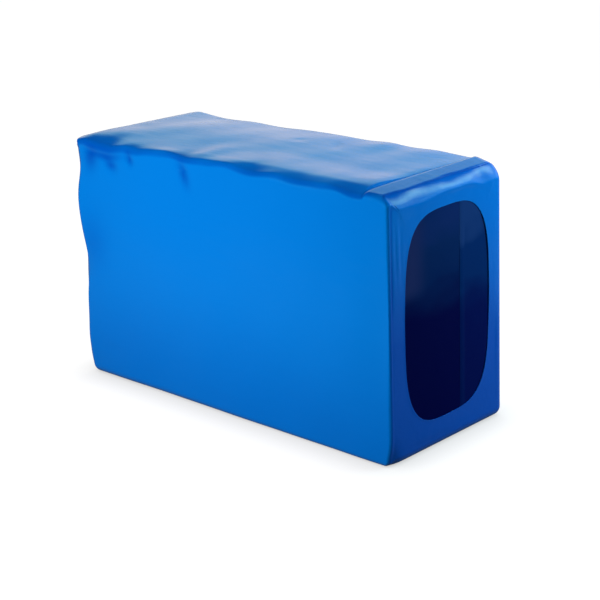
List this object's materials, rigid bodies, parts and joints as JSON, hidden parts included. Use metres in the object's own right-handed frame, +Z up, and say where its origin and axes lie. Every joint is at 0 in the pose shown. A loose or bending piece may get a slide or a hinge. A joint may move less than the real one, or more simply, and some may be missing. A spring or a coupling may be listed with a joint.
{
  "type": "pouch cell battery pack",
  "caption": "Brick-shaped pack of pouch battery cells in a glossy shrink sleeve, with an oval window in the film over each end cover and a grommet for the power leads.",
  "frame": {"origin": "middle of the base, on the surface that the pack stands on", "axes": "+X along the length, towards the front end with the raised cap; +Y across the width; +Z up"},
  "size_m": [0.264, 0.1068, 0.1604],
  "materials": {
    "sleeve_film": "glossy heat-shrunk film, a little wrinkled at its edges",
    "end_cover": "smooth dark laminate, glossy",
    "grommet_rubber": "moulded black rubber, matt",
    "fibre_board": "pale glass-fibre board, faint weave",
    "foam": "closed-cell foam",
    "filament_tape": "clear tape with pale filaments",
    "pouch_foil": "satin laminated foil",
    "separator_sheet": "thin pale sheet",
    "tab_aluminium": "bright rolled strip",
    "tab_nickel": "nickel-plated strip",
    "sealing_polymer": "heat-sealed strip",
    "board_laminate": "green solder resist over glass-fibre laminate",
    "bar_copper": "rolled copper, lightly brushed",
    "amber_film": "amber polymer film over copper traces",
    "insulating_paper": "vulcanised fibre paper",
    "black_epoxy": "moulded black epoxy",
    "sink_aluminium": "extruded, plain",
    "capacitor_can": "sleeved can",
    "socket_plastic": "moulded nylon",
    "screw_steel": "zinc plated"
  },
  "bodies": {
    "root": {"shrink_sleeve": "sleeve_film", "front_end_cap": "end_cover", "front_lap_panel": "end_cover", "rear_end_board": "end_cover", "lead_grommet": "grommet_rubber", "top_board": "fibre_board", "bottom_board": "fibre_board", "left_board": "fibre_board", "right_board": "fibre_board", "front_pad": "foam", "board_foam_tape": "foam", "stack_tape_front": "filament_tape", "stack_tape_rear": "filament_tape", "pouch_cell_01": "pouch_foil", "pouch_cell_02": "pouch_foil", "pouch_cell_03": "pouch_foil", "pouch_cell_04": "pouch_foil", "pouch_cell_05": "pouch_foil", "pouch_cell_06": "pouch_foil", "pouch_cell_07": "pouch_foil", "pouch_cell_08": "pouch_foil", "pouch_cell_09": "pouch_foil", "pouch_cell_10": "pouch_foil", "pouch_cell_11": "pouch_foil", "pouch_cell_12": "pouch_foil", "pouch_cell_13": "pouch_foil", "cell_separators": "separator_sheet", "positive_tabs": "tab_aluminium", "negative_tabs": "tab_nickel", "tab_sealing_strips": "sealing_polymer", "tab_board": "board_laminate", "management_board": "board_laminate", "series_bars": "bar_copper", "positive_bar": "bar_copper", "negative_bar": "bar_copper", "output_strap": "bar_copper", "current_shunts": "bar_copper", "sense_strip": "amber_film", "insulating_sheet": "insulating_paper", "temperature_sensor": "black_epoxy", "power_transistors": "black_epoxy", "control_chips": "black_epoxy", "balance_resistors": "black_epoxy", "heat_sink": "sink_aluminium", "capacitors": "capacitor_can", "sense_socket": "socket_plastic", "output_screws": "screw_steel", "output_nuts": "screw_steel"}
  },
  "joints": []
}
